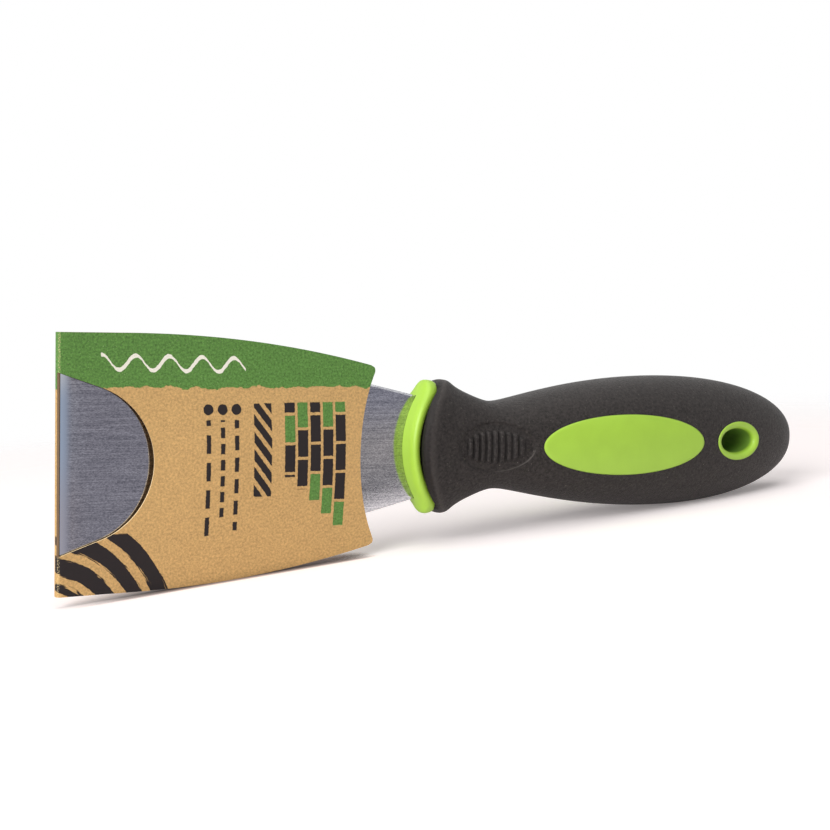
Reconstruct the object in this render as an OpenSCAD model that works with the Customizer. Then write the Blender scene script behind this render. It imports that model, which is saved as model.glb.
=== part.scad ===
// Flexible putty knife with a two-shot handle, in the folded card sleeve it is sold in.
// The knife lies along X with its working edge at -X and stands on its long edge, width along Z.
// The front face looks along -Y. The origin is the middle of the bounding box's underside.

/* [Blade] */
// Width of the working edge
blade_w = 50; // [40:1:62]
// Thickness of the steel sheet
blade_t = 0.8; // [0.5:0.1:1.2]
// Length from the working edge to the front of the collar
blade_free_l = 79.8; // [66:0.2:96]
// Width of the blade at the tang's shoulders
blade_root_w = 23.2; // [19:0.2:26]
// Radius of the bowed long sides
blade_side_r = 580; // [400:10:900]
// Length of the ground bevel at the working edge
bevel_l = 1.9; // [1:0.1:4]
// Thickness left at the very edge
edge_t = 0.3; // [0.1:0.05:0.4]

/* [Tang] */
// Distance from the collar's front to the tang's shoulders
shoulder_in = 4; // [3:0.5:8]
// Width of the tang
tang_w = 12; // [9:0.5:14]
// Length of the tang behind its shoulders
tang_l = 54; // [36:1:70]
// Diameter of the keying holes
tang_hole_d = 5; // [3:0.5:6]
// Distance between the two keying holes
tang_hole_pitch = 24; // [14:1:30]
// Clearance between the tang and the moulding around it
tang_fit = 0.05; // [0.02:0.01:0.15]

/* [Collar] */
// Height of the collar's rim across the knife
collar_w = 30.6; // [28:0.1:36]
// Thickness of the collar's rim across the faces
collar_t = 10.4; // [9:0.2:12]
// Length of the rim along the knife
collar_rim = 2.4; // [2:0.1:4]
// Length of the rounded front of the rim
collar_bead_l = 1; // [0.6:0.1:1.2]
// How far the rounded front falls towards the blade
collar_bead_r = 2; // [1:0.1:2.4]
// Round at the back of the rim
collar_back_r = 1.2; // [0.3:0.1:1.2]
// Radius of the arch that the collar follows
arch_r = 21; // [18.5:0.5:30]
// Length of the collar's rounded ends, which no longer follow the arch
collar_end = 1.6; // [0.8:0.1:2.4]

/* [Grip] */
// Length from the collar's front to the end of the handle
handle_l = 118.6; // [108:0.1:143]
// Height of the shoulder behind the collar
shoulder_w = 30.4; // [28:0.2:34]
// Distance from the collar's front to the neck
neck_at = 22.7; // [18:0.1:26]
// Fall of the flare, height lost per length on one side
flare_fall = 0.6; // [0.4:0.05:0.9]
// Softness of the neck between flare and belly
neck_soft = 2; // [0.8:0.1:2.6]
// Height of the belly
belly_w = 32; // [30:0.5:38]
// Distance from the collar's front to the highest part of the belly
belly_at = 73.9; // [64:0.1:82]
// Radius of the belly's sides towards the neck
belly_side_r = 176; // [160:2:260]
// Thickness of the shoulder across the faces
shoulder_t = 16; // [14:0.2:18]
// Thickness of the belly across the faces
belly_t = 24.4; // [22:0.2:28]
// Distance from the collar's front to the thickest part of the belly
belly_t_at = 62; // [54:1:70]
// Radius of the belly's faces towards the neck
belly_face_r = 170; // [150:2:220]
// Fall of the faces behind the shoulder, thickness lost per length on one side
face_fall = 0.12; // [0.06:0.02:0.2]
// Thickness of the soft layer over the core
grip_wall = 2.5; // [2:0.1:3]
// Round of the lip at the front of the grip
lip_r = 1.8; // [1:0.1:2.2]
// How far the lip comes forward around the collar
lip_lead = 0.6; // [0:0.1:1]
// Width of the open groove between the collar and the lip
groove_w = 0.8; // [0.4:0.1:1.2]
// Length of the groove behind the collar
groove_l = 0.4; // [0.1:0.1:0.8]
// Thickness of the soft layer behind the groove
groove_floor = 1.2; // [0.8:0.1:2]

/* [Thumb rest] */
// Number of ribs
rib_count = 9; // [5:1:11]
// Distance between ribs
rib_pitch = 1.65; // [1.4:0.05:2]
// Width of a rib
rib_l = 0.85; // [0.6:0.05:1.2]
// Height of the middle rib across the knife
rib_w = 7.6; // [6:0.2:9]
// How far the ribs rise from the floor of the dish
rib_h = 0.4; // [0.2:0.05:0.6]
// Length of the oval dish around the ribs
thumb_l = 20.3; // [17:0.1:22]
// Height of the dish
thumb_w = 11.7; // [9:0.1:12]
// Depth of the dish
thumb_depth = 0.35; // [0.1:0.05:0.5]
// Distance from the collar's front to the middle of the dish and its ribs
thumb_at = 20.9; // [19:0.1:23]

/* [Oval pad] */
// Length of the oval pad along the knife
pad_l = 47.4; // [40:0.2:50]
// Height of the oval pad
pad_w = 14.5; // [10:0.1:17]
// Distance from the collar's front to the middle of the pad
pad_at = 56.5; // [54:0.1:60]
// How far the pad stands proud of the grip
pad_proud = 0.15; // [0.05:0.05:0.4]

/* [Hang hole] */
// Length of the hole along the knife
hole_l = 11.9; // [8:0.1:13]
// Height of the hole
hole_w = 6.1; // [5.4:0.1:9]
// Wall of the green eyelet around the hole
eyelet_wall = 1.8; // [1.2:0.1:2.2]
// Distance from the middle of the hole to the end of the handle
hole_from_end = 25.9; // [22:0.1:30]
// How far the core reaches past the hole
core_past_hole = 5.4; // [3:0.2:8]

/* [Card sleeve] */
// Thickness of the card
card_t = 0.45; // [0.3:0.05:0.6]
// Room between the blade's corners and the sleeve's long edges, when centred
side_gap = 1.7; // [1.6:0.1:3]
// How far the sleeve hangs below the knife's own axis
sleeve_drop = 1.5; // [0:0.1:1.5]
// Distance from the sleeve's corners to the collar
mouth_gap = 7.3; // [5:0.1:16]
// Length of the straight stretch of the long edges
sleeve_straight_l = 16; // [8:0.5:30]
// Radius of the bowed long edges
sleeve_side_r = 240; // [200:5:400]
// Depth of the hollow mouth
mouth_depth = 4.8; // [3:0.2:7]
// Round at the corners of the mouth
corner_r = 1.6; // [0.8:0.1:3]
// Gap between the blade and the card
card_gap = 0.25; // [0.15:0.05:0.5]
// Gap between the working edge and the inside of the fold
edge_gap = 0.35; // [0.2:0.05:0.8]
// Gap in the crease between the spine and the front panel
crease_gap = 0.1; // [0.05:0.05:0.2]
// How far the front panel bows out
bow_h = 1.7; // [0.6:0.1:3]
// Length over which the bow rises from the fold
bow_rise_l = 42; // [15:1:60]

/* [Window] */
// Radius of the half-moon window
window_r = 16.4; // [12:0.2:18]
// Distance from the fold to the middle of the window's round
window_at = 3.9; // [2:0.1:6]
// Slope of the window's ends towards the fold, in degrees
window_flare = 18.6; // [10:0.2:30]

/* [Hidden] */
$fn = 96;
// Points around a handle section
ring_n = 36;
// Stations along the lip, the neck, the belly and the rounded end
lip_steps = 3;
neck_steps = 12;
belly_steps = 8;
end_steps = 11;
// Length past the neck over which stations stay close
neck_run = 8;
// The last station stops just short of a full quarter turn
end_turn = 88.5;
// Stations of the core, of the thumb rest, and of the collar's two rounds
core_steps = 16;
thumb_steps = 12;
bead_steps = 5;
back_steps = 3;
// Steps along and across the bowed card
bow_steps_x = 12;
bow_steps_z = 14;
// Squareness of the handle's section, 2 being an ellipse
section_power = 2.35;
collar_power = 2.6;
// Squareness of the rounded handle end
end_power = 2.1;
// Softness of the change from the shoulder to the flare, in height and in thickness
flare_soft = 0.4;
face_soft = 0.2;
// Softness of the change from the collar's arch to its ends
collar_end_soft = 0.6;
// Smallest half size of a section
least = 0.2;
// Overshoot of cutting shapes
over = 1;
// Points on the long arcs
arc_fn = 256;

// Stations along the knife, measured from the outside of the fold
edge_x = card_t + edge_gap;
collar_x = edge_x + blade_free_l;
grip_x = collar_x + collar_rim - lip_lead;
core_x = collar_x + collar_rim + groove_l + groove_floor;
neck_x = collar_x + neck_at;
tip_x = collar_x + handle_l;
belly_x = collar_x + belly_at;
belly_t_x = collar_x + belly_t_at;
pad_x = collar_x + pad_at;
hole_x = tip_x - hole_from_end;
core_end_x = hole_x + hole_l / 2 + core_past_hole;
thumb_x = collar_x + thumb_at;
root_x = collar_x + shoulder_in;
overall_l = tip_x;
// The sleeve goes with the blade it covers
sleeve_w = blade_w + 2 * side_gap;
sleeve_l = collar_x - mouth_gap;
// Card faces across the knife
card_in_y = blade_t / 2 + card_gap;
card_out_y = card_in_y + card_t;

// Depth of a circular arch at height z
function sag(z, r) = r - sqrt(max(r * r - z * z, 0));
// The larger and the smaller of two values, with a soft change from one to the other
function soft_max(a, b, soft) = (a + b) / 2 + sqrt(pow((a - b) / 2, 2) + soft * soft);
function soft_min(a, b, soft) = (a + b) / 2 - sqrt(pow((a - b) / 2, 2) + soft * soft);
// Signed power, for sections between an ellipse and a rectangle
function signed_pow(v, p) = sign(v) * pow(abs(v), p);
// One rounded end: 1 at the start of the end, 0 at its tip
function end_round(t) = pow(max(1 - pow(min(max(t, 0), 1), end_power), 0), 1 / end_power);

// Half height of the grip at the place x of its outline
function belly_half(x) = x > belly_x
    ? belly_w / 2 * end_round((x - belly_x) / (tip_x - belly_x))
    : belly_w / 2 - sag(belly_x - x, belly_side_r);
function flare_half(x) = belly_half(neck_x) + flare_fall * (neck_x - x);
function grip_half_w(x) =
    soft_max(belly_half(x), soft_min(flare_half(x), shoulder_w / 2, flare_soft), neck_soft);

// Half thickness of the grip at the station x
function belly_half_t(x) = x > belly_t_x
    ? belly_t / 2 * end_round((x - belly_t_x) / (tip_x - belly_t_x))
    : belly_t / 2 - sag(belly_t_x - x, belly_face_r);
function flare_half_t(x) = shoulder_t / 2 - face_fall * (x - grip_x - lip_r);
function grip_half_t(x) =
    soft_max(belly_half_t(x), soft_min(flare_half_t(x), shoulder_t / 2, face_soft), neck_soft / 2);

// How much of the collar's arch a station follows: all of it at the collar, none past the neck
function arch_share(x) = x < grip_x ? 1 : x > neck_x ? 0
    : (1 + cos(180 * (x - grip_x) / (neck_x - grip_x))) / 2;
// Where a station's top and bottom lie along the knife
function outline_x(x) = x + arch_share(x) * sag(shoulder_w / 2, arch_r);

// One section: half thickness ht, half height hw, arched forward in the middle
function section(x, ht, hw, power) = [
    for (i = [0 : ring_n - 1])
        let (z = section_z(i, hw, power))
        [x + arch_share(x) * sag(z, arch_r), section_y(i, ht, power), z]
];
function section_z(i, hw, power) = hw * signed_pow(cos(360 * i / ring_n), 2 / power);
function section_y(i, ht, power) = ht * signed_pow(sin(360 * i / ring_n), 2 / power);

// One section of the collar, at a distance behind its front: the arch is as thick everywhere,
// and its ends are left straight to be rounded
function collar_section(along, grow) = [
    for (i = [0 : ring_n - 1])
        let (
            z = section_z(i, collar_w / 2 + grow, collar_power),
            bent = soft_min(abs(z), collar_w / 2 - collar_end, collar_end_soft)
        )
        [collar_x + along + sag(bent, arch_r - along), section_y(i, collar_t / 2 + grow, collar_power), z]
];

// Stations from the collar to the tip, close together where the shape turns quickly
grip_stations = concat(
    [for (i = [0 : lip_steps]) grip_x + lip_r * (1 - cos(90 * i / lip_steps))],
    [for (i = [1 : neck_steps]) grip_x + lip_r + (neck_x + neck_run - grip_x - lip_r) * i / neck_steps],
    [for (i = [1 : belly_steps]) neck_x + neck_run + (belly_x - neck_x - neck_run) * i / belly_steps],
    [for (i = [1 : end_steps]) belly_x + (tip_x - belly_x) * sin(end_turn * i / end_steps)]
);
// How far the lip at the front of the grip is rounded down
function lip_drop(x) = x > grip_x + lip_r ? 0 : sag(lip_r - (x - grip_x), lip_r);
function grip_section(x, out) = section(
    x,
    max(grip_half_t(x) - lip_drop(x) + out, least),
    max(grip_half_w(outline_x(x)) - lip_drop(x) + out, least),
    section_power
);

// A closed solid through a row of sections
module skin(sections) {
    last = len(sections) - 1;
    half = ring_n / 2;
    sides = [
        for (s = [0 : last - 1], i = [0 : ring_n - 1])
            let (a = s * ring_n + i, b = s * ring_n + (i + 1) % ring_n)
            each [[a, b, b + ring_n], [a, b + ring_n, a + ring_n]]
    ];
    // Each end is closed by strips that run straight across the thickness
    ends = [
        for (i = [0 : half - 1])
            let (a = i, b = i + 1, c = ring_n - i - 1, d = (ring_n - i) % ring_n, e = last * ring_n)
            each concat(
                a == d ? [] : [[a, d, b], [e + a, e + b, e + d]],
                b == c ? [] : [[b, d, c], [e + b, e + c, e + d]]
            )
    ];
    polyhedron(points = [for (s = sections, p = s) p], faces = concat(sides, ends));
}

// Puts the knife, drawn along its own axis from the fold, into the part's frame
module placed() {
    translate([-overall_l / 2, 0, sleeve_w / 2 + sleeve_drop]) children();
}

// The same for the sleeve, which hangs a little lower
module hung() {
    translate([-overall_l / 2, 0, sleeve_w / 2]) children();
}

// A flat shape, drawn along and across the knife, given a thickness through it
module across(thickness) {
    rotate([90, 0, 0]) linear_extrude(height = thickness, center = true) children();
}

// An oval drawn by its two lengths
module oval(l, w) {
    count = ring_n * 2;
    polygon([for (i = [0 : count - 1]) [l * cos(360 * i / count), w * sin(360 * i / count)] / 2]);
}

// The region under one bowed side of the blade, from corner to tang shoulder
module blade_side() {
    run = root_x - edge_x;
    fall = (blade_w - blade_root_w) / 2;
    chord = sqrt(run * run + fall * fall);
    back = sqrt(blade_side_r * blade_side_r - chord * chord / 4);
    mid = [edge_x + run / 2, (blade_w + blade_root_w) / 4];
    translate(mid - back / chord * [fall, run]) circle(r = blade_side_r, $fn = arc_fn);
}

module blade_outline() {
    intersection() {
        blade_side();
        mirror([0, 1]) blade_side();
        translate([edge_x, -blade_w / 2]) square([root_x - edge_x, blade_w]);
    }
}

module tang_outline(grow) {
    translate([root_x - over, -tang_w / 2 - grow]) square([tang_l + over + grow, tang_w + 2 * grow]);
}

module tang_holes(d) {
    for (side = [-1, 1])
        translate([root_x + tang_l / 2 + side * tang_hole_pitch / 2, 0]) circle(d = d);
}

module blade() {
    color([0.55, 0.56, 0.6])
    placed() difference() {
        union() {
            across(blade_t) blade_outline();
            across(blade_t) difference() {
                tang_outline(0);
                tang_holes(tang_hole_d);
            }
        }
        for (side = [-1, 1])
            mirror([0, side > 0 ? 1 : 0, 0]) bevel_cut();
    }
}

// What the grinding takes off one face at the working edge
module bevel_cut() {
    translate([edge_x, 0, -blade_w]) linear_extrude(height = 2 * blade_w)
        polygon([
            [-over, -edge_t / 2],
            [0, -edge_t / 2],
            [bevel_l, -blade_t / 2],
            [bevel_l, -blade_t],
            [-over, -blade_t]
        ]);
}

// The room that blade and tang take up inside the moulding
module tang_room() {
    across(blade_t + 2 * tang_fit) union() {
        difference() {
            tang_outline(tang_fit);
            tang_holes(tang_hole_d - 2 * tang_fit);
        }
        intersection() {
            translate([root_x - 2 * shoulder_in, -blade_w / 2]) square([2 * shoulder_in + tang_fit, blade_w]);
            offset(delta = tang_fit) blade_outline();
        }
    }
}

// The collar's rim: a round at the front, a short flat and a small round at the back.
// A neck behind it joins it to the core.
module collar() {
    front = [for (i = [0 : bead_steps]) let (turn = 90 * i / bead_steps)
        [collar_bead_l * (1 - cos(turn)), collar_bead_r * (1 - sin(turn))]];
    back = [for (i = [0 : back_steps]) let (turn = 90 * i / back_steps)
        [collar_rim - collar_back_r * (1 - sin(turn)), collar_back_r * (1 - cos(turn))]];
    skin(concat(
        [for (p = concat(front, back)) collar_section(p[0], -p[1])],
        [for (x = [collar_x + collar_rim, core_x + over])
            section(x, collar_t / 2 - grip_wall, collar_w / 2 - grip_wall, collar_power)]
    ));
}

// The open groove that the grip leaves around and behind the collar
module groove() {
    skin([for (along = [0, collar_rim + groove_l]) collar_section(along, groove_w)]);
}

// The part of the core that the grip covers
module core_body() {
    skin([for (i = [0 : core_steps])
        let (x = core_x + (core_end_x - core_x) * i / core_steps)
        section(
            x,
            grip_half_t(max(x, grip_x + lip_r)) - grip_wall,
            grip_half_w(outline_x(max(x, grip_x + lip_r))) - grip_wall,
            section_power
        )]);
}

// Where the core comes through the grip: the oval pads and the eyelet
module pad_column() {
    across(2 * belly_t) translate([pad_x, 0]) oval(pad_l, pad_w);
}

module eyelet_column() {
    across(2 * belly_t) translate([hole_x, 0]) oval(hole_l + 2 * eyelet_wall, hole_w + 2 * eyelet_wall);
}

module handle_core() {
    color([0.62, 0.84, 0.25])
    placed() difference() {
        union() {
            collar();
            core_body();
            intersection() {
                skin([for (x = grip_stations) grip_section(x, pad_proud)]);
                union() {
                    pad_column();
                    eyelet_column();
                }
            }
        }
        tang_room();
        across(2 * belly_t) translate([hole_x, 0]) oval(hole_l, hole_w);
    }
}

// The grip's form over the thumb rest, grown or shrunk
module thumb_form(out) {
    reach = thumb_l / 2 + 2 * over;
    skin([for (i = [0 : thumb_steps]) grip_section(thumb_x + reach * (2 * i / thumb_steps - 1), out)]);
}

// What the dishes of the thumb rest take off both faces
module thumb_cut() {
    difference() {
        across(2 * belly_t) translate([thumb_x, 0]) oval(thumb_l, thumb_w);
        thumb_form(-thumb_depth);
    }
}

// Ribs of the thumb rest on both faces, shorter towards the ends of the row
module ribs() {
    reach = (rib_count + 1) / 2 * rib_pitch;
    intersection() {
        thumb_form(rib_h - thumb_depth);
        across(2 * belly_t) for (i = [0 : rib_count - 1]) {
            along = (i - (rib_count - 1) / 2) * rib_pitch;
            height = rib_w * sqrt(1 - pow(along / reach, 2));
            translate([thumb_x + along, 0]) square([rib_l, height], center = true);
        }
    }
}

module grip() {
    color([0.2, 0.19, 0.19])
    placed() difference() {
        union() {
            difference() {
                skin([for (x = grip_stations) grip_section(x, 0)]);
                thumb_cut();
            }
            ribs();
        }
        groove();
        collar();
        core_body();
        pad_column();
        eyelet_column();
    }
}

// The outline of one panel of the sleeve, before its corners are rounded
module panel_sharp() {
    half = sleeve_w / 2;
    mouth_half = half - sag(sleeve_l - sleeve_straight_l, sleeve_side_r);
    mouth_r = (mouth_half * mouth_half + mouth_depth * mouth_depth) / (2 * mouth_depth);
    difference() {
        translate([0, -half]) square([sleeve_l, sleeve_w]);
        for (side = [0, 1])
            mirror([0, side]) difference() {
                translate([sleeve_straight_l, 0]) square([sleeve_l, sleeve_w]);
                translate([sleeve_straight_l, half - sleeve_side_r]) circle(r = sleeve_side_r, $fn = arc_fn);
            }
        translate([sleeve_l - mouth_depth + mouth_r, 0]) circle(r = mouth_r, $fn = arc_fn);
    }
}

// The same outline with round corners at the mouth and square ones at the fold
module panel_outline() {
    offset(r = corner_r) offset(delta = -corner_r) panel_sharp();
    intersection() {
        panel_sharp();
        translate([0, -sleeve_w / 2]) square([sleeve_straight_l, sleeve_w]);
    }
}

// The half-moon cut from the front panel at the fold
module window() {
    touch_x = window_at + window_r * sin(window_flare);
    touch_z = window_r * cos(window_flare);
    mouth_z = touch_z + (touch_x + over) * tan(window_flare);
    intersection() {
        translate([-over, -sleeve_w / 2]) square([sleeve_l, sleeve_w]);
        union() {
            translate([window_at, 0]) circle(r = window_r);
            polygon([[touch_x, touch_z], [-over, mouth_z], [-over, -mouth_z], [touch_x, -touch_z]]);
        }
    }
}

module sleeve_back() {
    color([0.8, 0.65, 0.42])
    hung() {
        translate([0, card_in_y + card_t / 2, 0]) across(card_t) panel_outline();
        translate([0, crease_gap - card_in_y, -sleeve_w / 2])
            cube([card_t, 2 * card_in_y + card_t - crease_gap, sleeve_w]);
    }
}

// How far the front panel stands out from flat
function bow(x, z) =
    let (rise = x > bow_rise_l ? 1 : (1 - cos(180 * x / bow_rise_l)) / 2)
    bow_h * rise * pow(cos(90 * min(abs(2 * z / sleeve_w), 1)), 2);

// A sheet that lies flat at the fold and bows out towards the mouth
module bowed_sheet() {
    function place(i, k, y) =
        let (x = sleeve_l * i / bow_steps_x, z = sleeve_w * (k / bow_steps_z - 0.5))
        [x, y - bow(x, z), z];
    row = bow_steps_z + 1;
    layer = row * (bow_steps_x + 1);
    points = [
        for (y = [-card_out_y, -card_in_y], i = [0 : bow_steps_x], k = [0 : bow_steps_z]) place(i, k, y)
    ];
    faces = [
        for (i = [0 : bow_steps_x - 1], k = [0 : bow_steps_z - 1])
            let (a = i * row + k, b = a + 1, c = a + row, d = c + 1)
            each [[a, b, d], [a, d, c], [layer + a, layer + d, layer + b], [layer + a, layer + c, layer + d]]
    ];
    long_sides = [
        for (i = [0 : bow_steps_x - 1])
            let (a = i * row, b = a + row, c = a + bow_steps_z, d = c + row)
            each [[a, b, layer + b], [a, layer + b, layer + a], [c, layer + d, d], [c, layer + c, layer + d]]
    ];
    short_sides = [
        for (k = [0 : bow_steps_z - 1])
            let (a = k, b = k + 1, c = bow_steps_x * row + k, d = c + 1)
            each [[a, layer + b, b], [a, layer + a, layer + b], [c, d, layer + d], [c, layer + d, layer + c]]
    ];
    polyhedron(points = points, faces = concat(faces, long_sides, short_sides));
}

module sleeve_front() {
    color([0.8, 0.65, 0.42])
    hung() intersection() {
        bowed_sheet();
        across(2 * (card_out_y + bow_h + over)) difference() {
            panel_outline();
            window();
        }
    }
}

blade();
handle_core();
grip();
sleeve_back();
sleeve_front();
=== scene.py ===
import math

import bmesh
import bpy
import numpy as np
from mathutils import Matrix, Vector


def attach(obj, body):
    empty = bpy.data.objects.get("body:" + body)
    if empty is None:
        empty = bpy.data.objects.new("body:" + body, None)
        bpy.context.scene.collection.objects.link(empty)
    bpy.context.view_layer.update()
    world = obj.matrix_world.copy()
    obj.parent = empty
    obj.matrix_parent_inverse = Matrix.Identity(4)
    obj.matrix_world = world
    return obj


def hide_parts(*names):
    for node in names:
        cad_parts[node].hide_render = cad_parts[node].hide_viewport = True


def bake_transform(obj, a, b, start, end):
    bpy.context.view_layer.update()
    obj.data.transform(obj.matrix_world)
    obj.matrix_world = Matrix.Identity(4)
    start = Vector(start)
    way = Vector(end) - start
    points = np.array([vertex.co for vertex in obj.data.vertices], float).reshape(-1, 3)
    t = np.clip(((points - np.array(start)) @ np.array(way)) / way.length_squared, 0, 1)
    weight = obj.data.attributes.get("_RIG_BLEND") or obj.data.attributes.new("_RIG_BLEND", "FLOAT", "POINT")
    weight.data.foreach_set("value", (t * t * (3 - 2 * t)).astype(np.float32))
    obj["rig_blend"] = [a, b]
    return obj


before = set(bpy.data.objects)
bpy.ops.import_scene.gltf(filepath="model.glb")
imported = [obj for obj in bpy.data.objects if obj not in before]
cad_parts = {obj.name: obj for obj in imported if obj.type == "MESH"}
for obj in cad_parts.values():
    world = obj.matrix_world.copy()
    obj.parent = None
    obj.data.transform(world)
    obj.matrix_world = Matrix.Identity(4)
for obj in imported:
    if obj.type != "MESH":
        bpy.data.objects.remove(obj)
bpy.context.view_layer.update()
print("frame loaded:", sorted(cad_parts))

mm = 0.001
halfLength = 99.6    # from the fold to the middle of the knife, where x is 0
knifeZ = 28.2        # height of the knife's own axis
sleeveZ = 26.7       # height of the sleeve's middle


def at(x, y, z, axisZ=knifeZ):
    return Vector(((x - halfLength) * mm, y * mm, axisZ * mm + z * mm))


def startPiece(name):
    piece = bpy.context.object
    piece.name = name
    piece.data.name = name
    return piece


def clearSelection():
    if bpy.context.object and bpy.context.object.mode != "OBJECT":
        bpy.ops.object.mode_set(mode="OBJECT")
    bpy.ops.object.select_all(action="DESELECT")


def pick(piece):
    clearSelection()
    piece.select_set(True)
    bpy.context.view_layer.objects.active = piece


def settle(piece):  # puts the place into the mesh, so that the object sits at the origin
    pick(piece)
    bpy.ops.object.transform_apply(location=True, rotation=True, scale=True)


def stretchMesh(piece, value, middle):
    bpy.ops.object.mode_set(mode="EDIT")
    bpy.ops.transform.resize(value=value, center_override=middle)
    bpy.ops.object.mode_set(mode="OBJECT")
    settle(piece)


def recalcOut(piece, merge=0.0):
    pick(piece)
    bpy.ops.object.mode_set(mode="EDIT")
    bpy.ops.mesh.select_all(action="SELECT")
    if merge:
        bpy.ops.mesh.remove_doubles(threshold=merge)
    bpy.ops.mesh.normals_make_consistent(inside=False)
    bpy.ops.object.mode_set(mode="OBJECT")


def applyModifier(piece, kind, name, **settings):
    pick(piece)
    mod = piece.modifiers.new(name, kind)
    for key, value in settings.items():
        setattr(mod, key, value)
    bpy.ops.object.modifier_apply(modifier=mod.name)


def cutWith(piece, tool, operation="DIFFERENCE", keep=False):
    applyModifier(piece, "BOOLEAN", "fit", object=tool, operation=operation, solver="MANIFOLD")
    if not keep:
        bpy.data.objects.remove(tool)


def smoothByAngle(piece, degrees=35):
    pick(piece)
    bpy.ops.object.shade_smooth_by_angle(angle=math.radians(degrees))


def readAll(items, name, width=3, kind=np.float32):  # one row, or one value, for each item
    values = np.zeros(len(items) * width, kind)
    items.foreach_get(name, values)
    return values.reshape(-1, width) if width > 1 else values


def readPoints(piece):
    return readAll(piece.data.vertices, "co").astype(float) / mm


def writePoints(piece, points):
    piece.data.vertices.foreach_set("co", (points * mm).astype(np.float32).ravel())
    piece.data.update()


def takeLayer(piece, name):  # reads a layer's values and removes it
    layer = piece.data.attributes[name]
    values = readAll(layer.data, "value", 1).astype(float)
    piece.data.attributes.remove(layer)
    return values


# Moves every point to its place, given in mm from the fold and from an axis along the knife
def shapeTo(piece, x, y, z, axisZ=knifeZ, merge=0.0):
    writePoints(piece, np.stack([x - halfLength, y, z + axisZ], -1))
    recalcOut(piece, merge)
    return piece


def smoothStep(low, high, value):
    share = np.clip((value - low) / (high - low), 0, 1)
    return share * share * (3 - 2 * share)


# A tube of rings: a circle is extruded from station to station and resized at each one.
# Every point keeps its ring number and its turn, for the finer shaping that follows.
def ringLoft(name, middle, axis, stations, points, cuts=0, poles=True):
    clearSelection()
    alongX = axis == "X"
    place, sizeA, sizeB = stations[0]

    def spot(along):
        return middle + Vector((along * mm, 0, 0) if alongX else (0, along * mm, 0))

    def grow(a, b):
        return (1, a, b) if alongX else (a, 1, b)

    def ringsNow():
        mesh = bmesh.from_edit_mesh(piece.data)
        return mesh, mesh.verts.layers.float["ring"]

    def markSelected(value):
        mesh, ringLayer = ringsNow()
        for v in mesh.verts:
            if v.select:
                v[ringLayer] = value

    bpy.ops.mesh.primitive_circle_add(
        vertices=points, radius=mm, enter_editmode=True, location=spot(place),
        rotation=(0, math.pi / 2, 0) if alongX else (math.pi / 2, 0, 0))
    piece = startPiece(name)
    bpy.ops.transform.resize(value=grow(sizeA, sizeB), center_override=spot(place))
    mesh = bmesh.from_edit_mesh(piece.data)
    mesh.verts.layers.float.new("ring")
    mesh.verts.layers.float.new("turn")
    turnLayer = mesh.verts.layers.float["turn"]
    for v in mesh.verts:
        off = piece.matrix_world @ v.co - spot(place)
        v[turnLayer] = math.atan2((off.y if alongX else off.x) / sizeA, off.z / sizeB)
    for ring, (along, a, b) in enumerate(stations[1:], 1):
        step = spot(along) - spot(place)
        bpy.ops.mesh.extrude_region_move(TRANSFORM_OT_translate={"value": step})
        bpy.ops.transform.resize(value=grow(a / sizeA, b / sizeB), center_override=spot(along))
        markSelected(ring)
        place, sizeA, sizeB = along, a, b
    if cuts:
        bpy.ops.mesh.select_all(action="DESELECT")
        bpy.ops.mesh.select_mode(type="EDGE")
        mesh, ringLayer = ringsNow()
        for e in mesh.edges:
            e.select_set(abs(e.verts[0][ringLayer] - e.verts[1][ringLayer]) > 0.5)
        bpy.ops.mesh.subdivide(number_cuts=cuts, smoothness=0)
        bpy.ops.mesh.select_mode(type="VERT")
    for ring in (0, len(stations) - 1) if poles else ():
        bpy.ops.mesh.select_all(action="DESELECT")
        mesh, ringLayer = ringsNow()
        for v in mesh.verts:
            v.select_set(abs(v[ringLayer] - ring) < 1e-4)
        mesh.select_flush(True)
        bpy.ops.mesh.extrude_region_move()
        bpy.ops.mesh.merge(type="CENTER")
        markSelected(-1 if ring == 0 else -2)  # the closing points
    bpy.ops.object.mode_set(mode="OBJECT")
    settle(piece)
    return piece


# The handle's form, the same for grip, core and pads. Lengths run from the fold, in mm.
handleForm = {
    "collarX": 80.6, "gripX": 82.4, "neckX": 103.3, "bellyX": 154.5, "bellyFaceX": 142.6, "tipX": 199.19,
    "shoulderW": 30.4, "flareFall": 0.6, "flareSoft": 0.4, "neckSoft": 2.0,
    "bellyW": 32.0, "bellySideR": 176.0,
    "shoulderT": 16.0, "faceFall": 0.12, "faceSoft": 0.2, "bellyT": 24.39, "bellyFaceR": 170.0,
    "archR": 21.0, "squareness": 2.35, "endSquareness": 2.1, "lipR": 1.8,
}


def sag(z, radius):
    return radius - np.sqrt(np.maximum(radius * radius - z * z, 0))


def softMax(a, b, soft):
    return (a + b) / 2 + np.sqrt(((a - b) / 2) ** 2 + soft * soft)


def softMin(a, b, soft):
    return (a + b) / 2 - np.sqrt(((a - b) / 2) ** 2 + soft * soft)


def endRound(share):
    p = handleForm["endSquareness"]
    return np.maximum(1 - np.clip(share, 0, 1) ** p, 0) ** (1 / p)


def bellyHalf(x, width, middle, sideR):
    h = handleForm
    towardsEnd = width / 2 * endRound((x - middle) / (h["tipX"] - middle))
    towardsNeck = width / 2 - sag(np.maximum(middle - x, 0), sideR)
    return np.where(x > middle, towardsEnd, towardsNeck)


def gripHalfW(x):
    h = handleForm
    belly = bellyHalf(x, h["bellyW"], h["bellyX"], h["bellySideR"])
    atNeck = bellyHalf(np.array(h["neckX"]), h["bellyW"], h["bellyX"], h["bellySideR"])
    flare = softMin(atNeck + h["flareFall"] * (h["neckX"] - x), h["shoulderW"] / 2, h["flareSoft"])
    return softMax(belly, flare, h["neckSoft"])


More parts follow.
